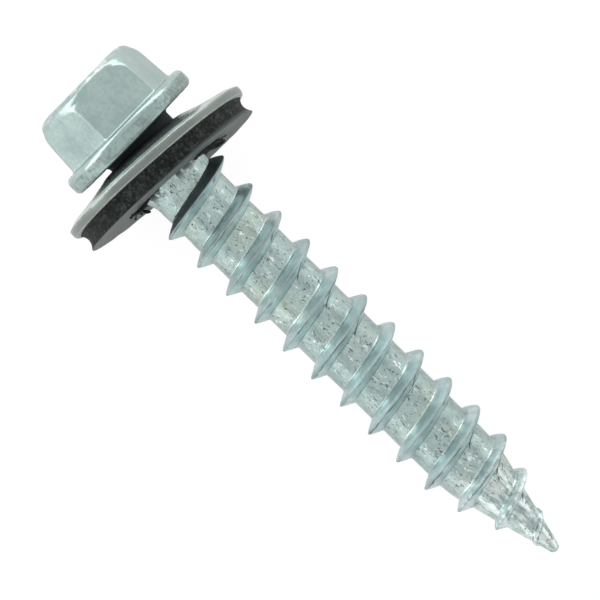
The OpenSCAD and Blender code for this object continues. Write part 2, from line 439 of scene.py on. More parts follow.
def reach_of_turned_shape(line, head):
    """Distance to the turned shape that bounds the hex: sloping side, round edge and flat top."""
    across = np.hypot(line[:, 0], line[:, 1])
    up = np.maximum(line[:, 2], 0.001)
    slope = math.tan(head.corner_draft)
    edge_h = head.hex_height - head.edge_r
    edge_at = head.corner_d / 2 - edge_h * slope - head.edge_r
    side = head.corner_d / 2 / (across + up * slope)
    towards = across * edge_at + up * edge_h
    chord = towards**2 - edge_at**2 - edge_h**2 + head.edge_r**2
    edge = towards + np.sqrt(np.maximum(chord, 0))
    on_edge = (edge * across > edge_at) & (edge * up > edge_h)
    return np.where(on_edge, edge, np.minimum(side, head.hex_height / up))


def press_hex(piece, head):
    """Presses the six flats and the rounded top into the domed blank."""
    points = read_points(piece)
    rise = -head.flange_t - points[:, 2]
    far = np.hypot(np.hypot(points[:, 0], points[:, 1]), rise) > 0.9 * head.hex_flats
    dome = far & (rise > -WELD)
    line = np.column_stack([points[:, 0], points[:, 1], rise])[dome]
    line /= np.linalg.norm(line, axis=1)[:, None]
    flats = reach_of_flats(line, head, head.corner_blend)
    turned = reach_of_turned_shape(line, head)
    depth = head.hex_height - np.minimum(flats, turned) * line[:, 2]
    near_top = np.exp(-np.maximum(depth - head.worn_depth, 0) / head.worn_fade)
    flats = reach_of_flats(line, head, head.corner_blend + head.worn_blend * near_top)
    pressed = line * soft_min(flats, turned, head.corner_blend + head.edge_blend * near_top)[:, None]
    below = np.clip(head.hex_foot - pressed[:, 2], 0, head.hex_foot)
    spread = np.hypot(pressed[:, 0], pressed[:, 1])
    foot = head.hex_foot - np.sqrt(head.hex_foot**2 - below**2)
    pressed[:, :2] *= (1 + foot / np.maximum(spread, MM))[:, None]
    points[dome] = np.column_stack([pressed[:, 0], pressed[:, 1], -head.flange_t - pressed[:, 2]])
    write_points(piece, points)


def ridge_across(points, shank):
    """Distance along the axis from the nearest crest, for each point."""
    turn = np.arctan2(points[:, 1], points[:, 0]) - shank.start_turn
    phase = (points[:, 2] - shank.thread_start) / shank.pitch - turn / math.tau
    return (phase - np.round(phase)) * shank.pitch


# Height of the ridge along the point: (share of the point's length, share of the full height)
RIDGE_FADE = (
    (-0.05, 1),
    (0.03, 0.86),
    (0.34, 0.84),
    (0.5, 0.62),
    (0.65, 0.24),
    (0.9, 0.12),
    (0.95, 0),
)


def full_ridge(shank):
    """Full height of the ridge above the root."""
    return (shank.major_d - shank.minor_d) / 2


def ridge_height(along, shank):
    """Height of the ridge above the root, at places along the axis."""
    run_in = np.clip((along - shank.thread_start) / (shank.pitch * shank.run_in_turns), 0, 1)
    point_start = shank.length - shank.point_length
    places, heights = zip(*RIDGE_FADE)
    fade = np.interp((along - point_start) / shank.point_length, places, heights)
    return full_ridge(shank) * run_in * fade


def core_radius(along, shank):
    """Radius of the shank without its ridge, at places along the axis."""
    root_r = shank.minor_d / 2
    neck_r = shank.neck_d / 2
    point_start = shank.length - shank.point_length
    slope = (root_r - shank.point_r) / shank.point_length
    cone = soft_min(root_r, root_r - (along - point_start) * slope, shank.cone_blend)
    run = np.clip((along - shank.neck_length) / shank.neck_run + 0.5, 0, 1)
    core = cone + (neck_r - root_r) * (1 - run * run * (3 - 2 * run))
    end = np.clip(along - (shank.length - shank.point_round), 0, shank.point_round)
    blunt = np.sqrt(np.maximum(shank.point_round**2 - end**2, 0))
    near_end = along > shank.length - shank.point_round
    return np.where(near_end, soft_min(core, blunt, shank.end_blend), core)


def shape_thread(piece, shank):
    """Moves the coiled sheet out to the shank's own surface: neck, root, flanks, crest and point."""
    points = read_points(piece)
    along = np.minimum(points[:, 2], shank.length)
    across = ridge_across(points, shank)
    height = ridge_height(along - across, shank)
    crest_r = shank.crest_r
    full = full_ridge(shank)
    half_w = shank.ridge_w / 2 * (0.4 + 0.6 * height / full)
    side = (np.hypot(across, crest_r) - crest_r) / (np.hypot(half_w, crest_r) - crest_r)
    arch = height * (1 - side) * (1 + shank.flank_bulge * side)
    ridge = soft_max(0 * arch, arch, shank.root_fillet * np.clip(2 * height / full, 0.1, 1))
    core = core_radius(along, shank)
    root_r = shank.minor_d / 2
    above_root = np.maximum(core - root_r, 0)
    radius = core + np.maximum(ridge - above_root, 0)
    radius = np.where(points[:, 2] > shank.length, WELD, np.maximum(radius, WELD))
    turn = np.arctan2(points[:, 1], points[:, 0])
    points[:, 0] = radius * np.cos(turn)
    points[:, 1] = radius * np.sin(turn)
    write_points(piece, points)


# Places of the thread's rings on each side of the crest, in millimetres: close at the crest and the foot
RING_PLACES = (
    *(0, 0.03, 0.065, 0.11, 0.17, 0.24, 0.31, 0.38),
    *(0.44, 0.49, 0.53, 0.57, 0.61, 0.66),
    *(0.74, 0.86, 1, 1.13, 1.27),
)


def coil_thread(shank, steps, start):
    """Threaded shank: a line one pitch long, coiled by a Screw modifier and moved to the surface."""
    offsets = sorted({side * value * MM for value in RING_PLACES for side in (-1, 1)})
    quarter = shank.pitch * (math.tau - shank.start_turn) / math.tau
    crest = shank.thread_start + quarter
    crest -= shank.pitch * math.ceil((crest + shank.pitch / 2 - start) / shank.pitch + 1)
    turns = math.ceil((shank.length - crest) / shank.pitch) + 1
    piece = trace_outline("shank", [(shank.major_d / 2, crest + offset) for offset in offsets])
    coil = piece.modifiers.new("Coil", "SCREW")
    coil.axis = "Z"
    coil.angle = math.tau
    coil.screw_offset = shank.pitch
    coil.iterations = turns
    coil.steps = steps
    coil.render_steps = steps
    bpy.ops.object.modifier_apply(modifier=coil.name)
    weld()
    shape_thread(piece, shank)
    cut(start, keep_above=True, fill=False)
    cut(shank.length - END_CUT, keep_above=False, fill=True)
    return piece


def join_and_bridge(head, shank):
    """Joins the head and the shank and bridges the two open ends of the neck."""
    select_only(head, shank)
    bpy.ops.object.join()
    with editing():
        bpy.ops.mesh.select_mode(type="EDGE")
        bpy.ops.mesh.select_all(action="DESELECT")
        bpy.ops.mesh.select_non_manifold()
        bpy.ops.mesh.bridge_edge_loops()
        bpy.ops.mesh.select_mode(type="VERT")
    weld()


def wear_screw(piece, shank):
    """Small dents all over and waves along the crests, as rolling and handling leave them."""
    points = read_points(piece)
    threaded = np.clip((points[:, 2] - shank.neck_length) / MM, 0, 1)
    wave = dents(points, (0.03, 2.2, 5)) * threaded
    push_out(piece, dents(points, (0.012, 0.9, 3), (0.006, 0.35, 8)) + wave)


def mark_screw(piece, shank):
    """Keeps each vertex's place along the screw, height up the ridge and distance from the crest."""
    points = read_points(piece)
    on_thread = points[:, 2] > shank.thread_start
    radius = np.hypot(points[:, 0], points[:, 1])
    ridge = np.clip((radius - core_radius(points[:, 2], shank)) / full_ridge(shank), 0, 1)
    write_attribute(piece, "station", points[:, 2] / MM)
    write_attribute(piece, "ridge", np.where(on_thread, ridge, 0))
    write_attribute(piece, "across", ridge_across(points, shank) / MM)


class ROOFING_OT_screw(bpy.types.Operator):
    """Models the screw: hex, flange, neck, rolled thread and point in one closed surface"""

    bl_idname = "roofing.screw"
    bl_label = "Screw"

    def execute(self, context):
        """Turns and presses the head, coils the thread, joins the two and lays the screw down."""
        sizes = context.scene.roofing_screw
        shank_sizes = sizes.shank
        head = turn_on_lathe("zinc_screw", head_outline(sizes.head, shank_sizes), sizes.head_steps)
        press_hex(head, sizes.head)
        shank = coil_thread(shank_sizes, sizes.turn_steps, 2 * shank_sizes.neck_fillet)
        join_and_bridge(head, shank)
        check_closed(head)
        wear_screw(head, shank_sizes)
        mark_screw(head, shank_sizes)
        head_top = Vector(MOUNTS["head_top"]["pos_m"])
        origin = head_top + SCREW_AXIS * (sizes.head.flange_t + sizes.head.hex_height)
        place(head, origin, SCREW_AXIS)
        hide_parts("screw")
        finish_piece(head, "screw", zinc_plate(sizes.finish), 50)
        return {"FINISHED"}


# Washer


def washer_origin(washer):
    """Middle of the steel rim's widest circle."""
    return Vector(MOUNTS["seal_face"]["pos_m"]) - WASHER_AXIS * washer.seal_depth


def sheet_line(washer, radius, side):
    """A point on one face of the dished sheet: -1 the curved face towards the head, 1 the one below."""
    rim_r = washer.steel_t / 2
    inwards = washer.washer_d / 2 - rim_r - radius
    if side < 0:
        return (radius, -0.97 * rim_r - inwards * washer.dish_slope - inwards**2 * washer.dish_curve)
    return (radius, rim_r / math.cos(washer.dish_angle) - inwards * math.tan(washer.dish_angle))


def steel_outline(washer):
    """Closed outline of the dished sheet with its round rim and rounded hole."""
    rim_r = washer.steel_t / 2
    rim_at = washer.washer_d / 2 - rim_r
    hole_r = washer.steel_hole_d / 2
    edge_r = washer.hole_edge_r
    dish = math.degrees(washer.dish_angle)
    upper = sheet_line(washer, hole_r + edge_r, -1)
    lower = sheet_line(washer, hole_r + edge_r, 1)
    points = arc((upper[0], upper[1] + edge_r), edge_r, 180, 282, 6)
    steps = np.linspace(hole_r + 1.6 * edge_r, rim_at - 0.2 * rim_r, 12)
    points += [sheet_line(washer, radius, -1) for radius in steps]
    start = points[-1]
    corner = (washer.washer_d / 2, -washer.shoulder * rim_r)
    outwards = corner[0] - start[0]
    down = corner[1] - start[1]
    for part in (0.2, 0.4, 0.6, 0.8, 0.93):
        points.append((start[0] + part * outwards, start[1] + part * down))
    points.append((corner[0] - 0.01 * MM, corner[1] + 0.005 * MM))
    points.append((corner[0], corner[1] + 0.04 * MM))
    for turn in np.radians(np.linspace(0, 90, 16)):
        across = rim_r * max(math.cos(turn), 0) ** washer.rim_power
        points.append((rim_at + across, rim_r * math.sin(turn) ** washer.rim_power))
    points += [sheet_line(washer, hole_r + part * (rim_at - hole_r), 1) for part in (0.7, 0.4)]
    points += arc((lower[0], lower[1] - edge_r), edge_r, 90 + dish, 180, 6)
    points.append(points[0])
    return points


def seal_outline(washer):
    """Closed outline of the rubber: bulged hole, flat underside, thin lip, groove and bonded face."""
    seal_r = washer.washer_d / 2 - washer.seal_inset
    rim_r = washer.steel_t / 2
    face = washer.seal_depth + washer.seal_puff
    groove_half = (face - washer.lip_t - rim_r) / 2
    groove_r = (groove_half**2 + washer.groove_depth**2) / (2 * washer.groove_depth)
    groove_at = (seal_r - washer.groove_depth + groove_r, rim_r + groove_half)
    groove_turn = math.degrees(math.asin(groove_half / groove_r))
    hole_r = washer.seal_hole_d / 2
    bulge_r = washer.seal_hole_bulge_r
    top = sheet_line(washer, hole_r + 0.1 * MM, 1)
    bulge_mid = (face + top[1]) / 2
    bulge_turn = math.degrees(math.asin((face - bulge_mid) / bulge_r))
    points = arc((hole_r + bulge_r, bulge_mid), bulge_r, 180 + bulge_turn, 180 - bulge_turn, 12)
    under_start = points[-1][0]
    points += [
        (under_start + part * (seal_r - under_start), face)
        for part in (0.04, 0.15, 0.3, 0.5, 0.7, 0.85, 0.95, 0.99)
    ]
    points += [(seal_r, face - 0.2 * washer.lip_t)]
    points += arc(groove_at, groove_r, 180 - groove_turn, 180 + groove_turn, 16)
    points += [sheet_line(washer, hole_r + part * (seal_r - hole_r), 1) for part in (0.92, 0.6, 0.3)]
    points.append(points[0])
    return points


def mark_rim(piece, washer):
    """Keeps each vertex's distance from the axis, where the rim is, and where highlights are painted along
    its edges.
    """
    points = read_points(piece)
    reach = np.hypot(points[:, 0], points[:, 1])
    rim_r = washer.steel_t / 2
    inside = washer.washer_d / 2 - reach
    below_shoulder = points[:, 2] + washer.shoulder * rim_r
    band = np.clip(below_shoulder / (0.03 * MM) + 0.5, 0, 1)
    near_rim = np.clip((rim_r - inside) / (0.1 * MM), 0, 1)
    outermost = np.clip((0.3 * rim_r - inside) / (0.04 * MM), 0, 1)
    line = np.minimum(np.abs(below_shoulder), np.abs(points[:, 2] - 0.8 * rim_r))
    write_attribute(piece, "reach", reach / MM)
    write_attribute(piece, "rim", band * near_rim)
    # Lines along the rim's two edges where a highlight is painted
    write_attribute(piece, "edge", outermost * np.clip(1.4 - line / (0.05 * MM), 0, 1))


class ROOFING_OT_steel_washer(bpy.types.Operator):
    """Models the dished steel washer"""

    bl_idname = "roofing.steel_washer"
    bl_label = "Steel washer"

    def execute(self, context):
        """Turns the sheet's outline and stands the washer on its rim."""
        sizes = context.scene.roofing_screw
        washer = sizes.washer
        piece = turn_on_lathe("dished_washer", steel_outline(washer), sizes.washer_steps)
        check_closed(piece)
        mark_rim(piece, washer)
        push_out(piece, dents(read_points(piece), (0.012, 1.6, 11), (0.006, 0.5, 13)))
        place(piece, washer_origin(washer), WASHER_AXIS)
        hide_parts("steel_washer")
        finish_piece(piece, "washer", washer_steel(sizes.finish), 40)
        return {"FINISHED"}


class ROOFING_OT_rubber_seal(bpy.types.Operator):
    """Models the rubber seal under the steel"""

    bl_idname = "roofing.rubber_seal"
    bl_label = "Rubber seal"

    def execute(self, context):
        """Turns the seal's outline, makes its edge a little ragged and stands it under the steel."""
        sizes = context.scene.roofing_screw
        washer = sizes.washer
        piece = turn_on_lathe("moulded_seal", seal_outline(washer), sizes.washer_steps)
        check_closed(piece)
        points = read_points(piece)
        push_out(piece, dents(points, (0.02, 0.8, 17), (0.012, 0.3, 19)))
        low = washer.seal_depth + washer.seal_puff - points[:, 2]
        # The grey of the worn face reaches higher over the lip on one side
        bloom_h = 0.08 * MM + 0.06 * np.clip(points[:, 1], 0, 5 * MM)
        write_attribute(piece, "under", np.clip(1 - low / bloom_h, 0, 1))
        place(piece, washer_origin(washer), WASHER_AXIS)
        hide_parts("rubber_seal")
        finish_piece(piece, "washer", seal_rubber(sizes.finish), 35)
        return {"FINISHED"}


# Torn shreds: thickness, and points across the seal's face, up it and out of it, in millimetres
KNOT = (-3.05, 0.9, 0.05)
SHREDS = (
    (1.5, (2.2, 3.4, 0), (2.6, 2.6, 0.05), (3.1, 1.6, 0.1),
     (3.6, 0.9, 0.2), (4.05, 0.6, 0.28), (4.2, 1, 0.3)),
    (1.2, (2.2, 3.4, 0), (2.8, 3.1, 0.04), (3.4, 2.5, 0.06), (3.92, 2, 0.12), (4.2, 1, 0.3)),
    (1.2, (1.95, 2.3, 0), (2.3, 2.6, 0.06), (2.6, 2.6, 0.05)),
    (0.6, (3.92, 1.5, 0.1), (4.2, 1.6, 0.12), (4.45, 1.3, 0.14)),
    (1.3, (-0.9, 2.84, -0.1), (-1.6, 2.45, -0.02), (-2.24, 2, 0.02),
     (-2.68, 1.35, 0.06), (-3.05, 0.9, 0.06)),
    (0.9, KNOT, (-3.2, 1.4, 0.06), (-3.35, 1.9, 0.05)),
    (0.9, KNOT, (-3.25, 0.5, 0.2), (-3.4, 0.2, 0.3)),
    (0.9, KNOT, (-2.95, 0.7, 0.2), (-2.8, 0.6, 0.36)),
    (0.9, KNOT, (-3.3, 0.9, 0.08), (-3.6, 0.95, 0.06)),
    (1.4, (-2.5, 1.6, 0), (-2.68, 1.5, 0.12), (-2.62, 1.8, 0.35), (-2.45, 2, 0.55), (-2.3, 2.1, 0.7)),
    (1, (-1.9, 2.3, 0), (-2.3, 2.2, 0.2), (-2.75, 1.7, 0.3), (-2.9, 1.2, 0.15)),
)


def washer_turn():
    """Directions of the washer: across it, up its face and out of its underside."""
    across = WASHER_AXIS.cross(Vector((0, 0, -1))).normalized()
    return Matrix((across, across.cross(WASHER_AXIS) * -1, WASHER_AXIS)).transposed()


def add_shred(points, radius, lift):
    """A tapered strand, lifted off the seal's face: a line of points, thickened by a Skin modifier."""
    turn = washer_turn()
    origin = Vector(MOUNTS["seal_face"]["pos_m"]) + WASHER_AXIS * lift
    path = [origin + turn @ Vector(point) * MM for point in points]
    strand = trace("torn_shreds", path)
    smooth = strand.modifiers.new("Smooth", "SUBSURF")
    smooth.levels = 2
    skin = strand.modifiers.new("Skin", "SKIN")
    for number, corner in enumerate(strand.data.skin_vertices[0].data):
        taper = 1 - 0.65 * number / (len(path) - 1)
        corner.radius = (radius * taper, 0.7 * radius * taper)
    rounded = strand.modifiers.new("Rounded", "SUBSURF")
    rounded.levels = 2
    for modifier in (smooth.name, skin.name, rounded.name):
        bpy.ops.object.modifier_apply(modifier=modifier)
    return strand


class ROOFING_OT_torn_shreds(bpy.types.Operator):
    """Models the torn shreds of rubber at the edge of the seal's hole"""

    bl_idname = "roofing.torn_shreds"
    bl_label = "Torn shreds"

    def execute(self, context):
        """Makes each strand, joins them and ties them to the washer."""
        sizes = context.scene.roofing_screw
        washer = sizes.washer
        strands = []
        for thickness, *points in SHREDS:
            strands.append(add_shred(points, washer.shred_r * thickness, washer.seal_puff))
        select_only(*strands)
        bpy.ops.object.join()
        finish_piece(context.object, "washer", seal_rubber(sizes.finish), 60)
        return {"FINISHED"}


# Finishes


class Signal:
    """A number or colour in a node tree: arithmetic on it adds Math nodes."""

    def __init__(self, sheet, socket):
        self.sheet = sheet
        self.socket = socket

    def math(self, operation, first, second=0.0):
        """One Math node."""
        return self.sheet.add("ShaderNodeMath", {"operation": operation}, {0: first, 1: second})

    def __add__(self, other):
        return self.math("ADD", self, other)

    __radd__ = __add__

    def __sub__(self, other):
        return self.math("SUBTRACT", self, other)

    def __rsub__(self, other):
        return self.math("SUBTRACT", other, self)

    def __mul__(self, other):
        return self.math("MULTIPLY", self, other)

    __rmul__ = __mul__

    def __abs__(self):
        return self.math("ABSOLUTE", self)

    def over(self, other):
        """The larger of two numbers."""
        return self.math("MAXIMUM", self, other)

    def between(self, low, high):
        """A smooth step: 0 below low, 1 above high, or the other way round when low is larger."""
        if low > high:
            return 1 - self.between(high, low)
        settings = {"interpolation_type": "SMOOTHSTEP"}
        sockets = {"Value": self, "From Min": low, "From Max": high}
        return self.sheet.add("ShaderNodeMapRange", settings, sockets)

    def tint(self, below, above):
        """A colour between two colours, by this number."""
        settings = {"data_type": "RGBA"}
        return self.sheet.add("ShaderNodeMix", settings, {0: self, 6: below, 7: above}, output=2)


class NodeSheet:
    """The nodes of one material or of the world."""

    def __init__(self, tree):
        self.tree = tree
        tree.nodes.clear()

    def add(self, kind, settings, sockets, output=0):
        """A node of any type: its settings first, then the values or links of its sockets."""
        node = self.tree.nodes.new(kind)
        for name, value in settings.items():
            if name == "stops":
                self.set_stops(node.color_ramp, value)
            else:
                setattr(node, name, value)
        for key, value in sockets.items():
            if isinstance(value, Signal):
                self.tree.links.new(value.socket, node.inputs[key])
            elif hasattr(value, "__len__") and len(value) == 3 and len(node.inputs[key].default_value) == 4:
                node.inputs[key].default_value = (*value, 1)
            else:
                node.inputs[key].default_value = value
        return Signal(self, node.outputs[output]) if node.outputs else None

    @staticmethod
    def set_stops(ramp, stops):
        """Fills a colour ramp with (place, grey level) stops."""
        while len(ramp.elements) < len(stops):
            ramp.elements.new(1)
        for element, (place_at, level) in zip(ramp.elements, stops):
            element.position = place_at
            element.color = (level, level, level, 1)

    def attribute(self, name):
        """A number kept on the mesh."""
        return self.add("ShaderNodeAttribute", {"attribute_name": name}, {}, output=2)

    def millimetres(self, turn=(0, 0, 0), stretch=(1, 1, 1)):
        """Object coordinates in millimetres, turned and stretched."""
        where = self.add("ShaderNodeTexCoord", {}, {}, output=3)
        turned = self.add("ShaderNodeMapping", {}, {"Vector": where, "Rotation": turn})
        scale = [part / MM for part in stretch]
        return self.add("ShaderNodeMapping", {}, {"Vector": turned, "Scale": scale})

    def noise(self, where, scale, detail=3.0, roughness=0.5, distortion=0.0):
        """Noise from 0 to 1, with its scale per millimetre."""
        sockets = {
            "Vector": where,
            "Scale": scale,
            "Detail": detail,
            "Roughness": roughness,
            "Distortion": distortion,
        }
        return self.add("ShaderNodeTexNoise", {}, sockets)

    def cell_edges(self, where, scale):
        """Distance to the nearest edge in a pattern of cells."""
        settings = {"feature": "DISTANCE_TO_EDGE"}
        return self.add("ShaderNodeTexVoronoi", settings, {"Vector": where, "Scale": scale})

    def vector(self, operation, *values, output=0):
        """One Vector Math node: its output 0 is a vector, and 1 a number."""
        sockets = dict(enumerate(values))
        return self.add("ShaderNodeVectorMath", {"operation": operation}, sockets, output)

    def vector_noise(self, where, scale, reach):
        """Coordinates that wander by noise, by up to a share of a millimetre."""
        cloud = self.add("ShaderNodeTexNoise", {}, {"Vector": where, "Scale": scale}, output=1)
        return self.vector("MULTIPLY_ADD", cloud, (reach, reach, reach), where)

    def bump(self, height, distance):
        """A normal that follows a height, with its distance in millimetres."""
        sockets = {"Height": height, "Distance": distance * MM, "Strength": 1.0}
        return self.add("ShaderNodeBump", {}, sockets)

    def surface(self, **sockets):
        """The Principled surface that ends a material."""
        named = {key.replace("_", " ").title(): value for key, value in sockets.items()}
        named = {key.replace("Ior", "IOR"): value for key, value in named.items()}
        shader = self.add("ShaderNodeBsdfPrincipled", {}, named)
        self.add("ShaderNodeOutputMaterial", {}, {"Surface": shader})


def new_material(name):
    """An empty material and its node sheet."""
    material = bpy.data.materials.new(name)
    material.use_nodes = True
    return material, NodeSheet(material.node_tree)


def zinc_zones(sheet):
    """Zones of the screw's surface, and the noises that its marks share."""
    along = (0, -LEAN, 0)
    zone = SimpleNamespace(
        along=along,
        where=sheet.millimetres(along),
        drawn=sheet.millimetres(along, (0.5, 1, 1)),
        station=sheet.attribute("station"),
        ridge=sheet.attribute("ridge"),
        across=sheet.attribute("across"),
    )
    zone.threaded = zone.station.between(2.6, 3.6)
    zone.point = zone.station.between(28.5, 33)
    zone.root = zone.threaded * zone.ridge.between(0.3, 0.06)
    zone.middle = zone.root * abs(zone.across).between(0.55, 0.95)
    zone.flank = zone.threaded * zone.ridge.between(0.08, 0.3)
    zone.crest = zone.threaded * abs(zone.across).between(0.17, 0.05) * zone.ridge.between(0.3, 0.6)
    zone.rim = zone.station.between(-1.0, -0.85) * zone.station.between(0.0, -0.1)
    zone.hex_head = zone.station.between(-1.2, -1.4)
    zone.mottle = sheet.noise(zone.where, 0.6, 4, 0.6)
    zone.fine = sheet.noise(zone.where, 3.4, 3, 0.6)
    zone.patch = sheet.noise(zone.where, 0.45, 2)
    zone.cloud = sheet.noise(zone.where, 1.3, 2)
    zone.grit = sheet.noise(zone.drawn, 3.8, 3, 0.7, 0.8)
    return zone


def zinc_colour(sheet, zone, finish):
    """Mottled plating: bluer on the flanks with a painted sheen, painted shade on the crests, dull on the
    flange, yellowish in the roots.
    """
    spots = (zone.mottle * 0.6 + zone.fine * 0.4).between(0.34, 0.66)
    base = spots.tint(finish.zinc_dark, finish.zinc_light)
    base = zone.flank.tint(base, finish.zinc_flank)
    # Painted sheen on the flanks: noise patches painted darker and lighter stand for the shade and
    # highlights of their reflections
    sheen = sheet.noise(zone.where, 0.8, 3, 0.55)
    base = (zone.flank * sheen.between(0.5, 0.38) * 0.35).tint(base, finish.zinc_dark)
    base = (zone.flank * sheen.between(0.54, 0.66) * 0.5).tint(base, finish.zinc_fleck_and_highlight)
    # Painted shade on the crests, which dulls their catch-light
    crest_shade = zone.crest * (0.35 + zone.patch.between(0.35, 0.6) * 0.25)
    base = crest_shade.tint(base, finish.zinc_dull_and_shade)
    base = (zone.hex_head * 0.1).tint(base, finish.zinc_dull_and_shade)
    stained = zone.rim * (zone.mottle * 0.5 + zone.fine * 0.5).between(0.38, 0.6)
    base = stained.tint(base, finish.zinc_dull_and_shade)
    yellow = zone.patch.between(0.52, 0.66) * zone.root * 0.25
    return yellow.tint(base, finish.zinc_yellow)


def zinc_light_marks(sheet, zone):
    """Flecks in the roots, streaks on the point painted bright as highlights, rubbed places on the hex, and
    a painted highlight along the ridge's foot.
    """
    dense = zone.middle * zone.cloud.between(0.38, 0.58)
    flecks = zone.grit.between(0.57, 0.65) * (zone.root * 0.35 + dense * 0.65)
    # Striations along the point, painted bright to stand for the cone's highlights
    streaked = sheet.millimetres(zone.along, (0.14, 1, 1))
    streaks = sheet.noise(streaked, 2.6, 3, 0.55).between(0.44, 0.56) * zone.point
    rubbed = sheet.noise(zone.where, 1.5, 3).between(0.5, 0.62) * zone.station.between(-4.55, -4.8)
    # Painted highlight: a light line along the foot of the ridge's head-facing flank
    foot = abs(zone.across + 0.5).between(0.12, 0.04) * zone.threaded * zone.patch.between(0.4, 0.6)
    return flecks.over(streaks * 0.75).over(rubbed * 0.6).over(foot * 0.5)


def zinc_dark_marks(sheet, zone):
    """Pits, specks and cracks in the roots, laps and gashes on the ridge, and a painted dark reflection of
    the rubber on its first flank.
    """
    short = sheet.millimetres(zone.along, (0.4, 1, 1))
    pits = sheet.noise(short, 5.4, 2, 0.6, 1.6).between(0.4, 0.34)
    pits = pits * zone.root * zone.cloud.between(0.6, 0.48)
    specks = zone.grit.between(0.42, 0.34) * zone.middle * zone.cloud.between(0.44, 0.56)
    waves = sheet.noise(zone.where, 1.1, 2)
    cracks = sheet.cell_edges(sheet.vector_noise(zone.where, 1.8, 0.7), 1.0).between(0.04, 0.012)
    cracks = cracks * waves.between(0.58, 0.66) * zone.root * (0.3 + zone.point * 0.7)
    wander = waves - 0.5
    lap = abs(zone.across - 0.1 - wander * 0.3).between(0.05, 0.02)
    lap = lap * sheet.noise(zone.where, 0.7, 3).between(0.46, 0.62)
    lap = lap * zone.threaded * zone.ridge.between(0.35, 0.6)
    aside = sheet.add("ShaderNodeSeparateXYZ", {}, {0: zone.where}, output=1)
    gash_start = 1.66
    gash_slope = 0.56
    slant = zone.across - 0.15 - (gash_start - aside) * gash_slope - wander * 0.25
    gash = abs(slant).between(0.09, 0.04) * aside.between(0.65, 0.9) * aside.between(1.8, 1.6)
    gash = gash * sheet.noise(zone.where, 0.3, 1).between(0.4, 0.48) * zone.threaded
    fold = abs(abs(zone.across) - 0.17).between(0.07, 0.03) * zone.fine.between(0.3, 0.55)
    fold = fold * zone.station.between(35.0, 35.6) * zone.station.between(37.2, 36.9)
    # Painted reflection: the dark rubber seal mirrored in the first turn's head-facing flank
    rubber_reflection = zone.flank * zone.across.between(0.0, -0.08) * zone.station.between(6.9, 6.1)
    dark = pits.over(specks).over(cracks).over(lap * 0.75).over(gash).over(fold * 0.8)
    return dark.over(rubber_reflection * (0.4 + zone.mottle * 0.6))


def neck_shade_and_smears(sheet, zone):
    """Painted shade: black on the neck behind the washer, in the gap under the flange, with dark smears
    where the thread starts.
    """
    neck = zone.station.between(-0.08, -0.01) * zone.station.between(2.7, 2.2)
    smear = sheet.noise(zone.drawn, 1.7, 3).between(0.5, 0.58)
    smear = smear * zone.station.between(2.2, 2.6) * zone.station.between(4.0, 3.3)
    return neck.over(smear * 0.85)


def zinc_plate(finish):
    """Bright zinc plating: mottled, flecked in the roots, lapped along the crests, with painted shade on
    the neck, the crests and the first flank, and painted highlights on the flanks.
    """
    material, sheet = new_material("zinc_plate")
    zone = zinc_zones(sheet)
    # Painted shade on the neck between the flange and the washer
    shade_and_smears = neck_shade_and_smears(sheet, zone)
    dark = (zinc_dark_marks(sheet, zone) * 0.85).over(shade_and_smears)
    base = zinc_colour(sheet, zone, finish)
    base = zinc_light_marks(sheet, zone).tint(base, finish.zinc_fleck_and_highlight)
    base = dark.tint(base, finish.scratch_and_shade)
    rolled = zone.root * (0.5 - zone.point * 0.35)
    grain = 0.12 + rolled + zone.rim * 0.4 + zone.hex_head * 0.1
    normal = sheet.bump(zone.grit * grain + zone.mottle * 0.4, 0.045)
    dulled = (zone.flank + zone.rim + zone.hex_head * 0.6) * 0.12 + zone.crest * 0.3
    rough = 0.13 + zone.mottle * 0.1 + dark * 0.2 + shade_and_smears * 0.35 + dulled
    sheet.surface(base_color=base, metallic=0.85 - shade_and_smears * 0.8, roughness=rough, normal=normal)
    return material


def washer_steel(finish):
    """Dull galvanised sheet with a stained rim, painted highlights along the rim's edges and painted shade
    round its hole.
    """
    material, sheet = new_material("washer_steel")
    where = sheet.millimetres()
    reach = sheet.attribute("reach")
    edge = sheet.attribute("edge")
    mottle = sheet.noise(where, 0.7, 4, 0.6)
    fine = sheet.noise(where, 4.0, 3, 0.6)
    spots = (mottle * 0.6 + fine * 0.4).between(0.36, 0.62)
    rim = sheet.attribute("rim")
    cloud = sheet.noise(where, 0.5, 1)
    # Painted shade round the hole, where the dish mirrors the dark gap under the flange
    hole = (reach + (cloud - 0.5) * 1.2).between(4.9, 3.2)
    base = (spots * 0.35).tint(finish.steel, finish.steel_rim)
    base = (rim * 0.95).tint(base, finish.steel_rim)
    base = (hole * 0.95).tint(base, finish.steel_hole_shade)
    # Painted highlights along the rim's edges
    base = (edge * fine.between(0.3, 0.6) * 0.4).tint(base, finish.steel_edge_highlight)
    normal = sheet.bump(fine * 0.2 + mottle, 0.02)
    rough = 0.12 + mottle * 0.12 + rim * 0.12
    sheet.surface(base_color=base, metallic=0.9, roughness=rough, normal=normal)
    return material


def seal_rubber(finish):
    """Matt black rubber with a fine grain and a grey bloom, smoother on the flat underside."""
    material, sheet = new_material("seal_rubber")
    where = sheet.millimetres()
    under = sheet.attribute("under")
    grain = sheet.noise(where, 4.5, 4, 0.7)
    bloom = sheet.noise(where, 1.1, 4, 0.65)
    grey = (grain * 0.6 + bloom * 0.4).between(0.44, 0.66) * 0.57
    base = grey.over(under).tint(finish.rubber, finish.rubber_grey)
    normal = sheet.bump(grain * (1 - under * 0.8) + bloom * 0.4, 0.12)
    rough = 0.6 - under * 0.22 + bloom * 0.15
    sheet.surface(base_color=base, roughness=rough, normal=normal, specular_ior_level=0.25)
    return material


# Stage


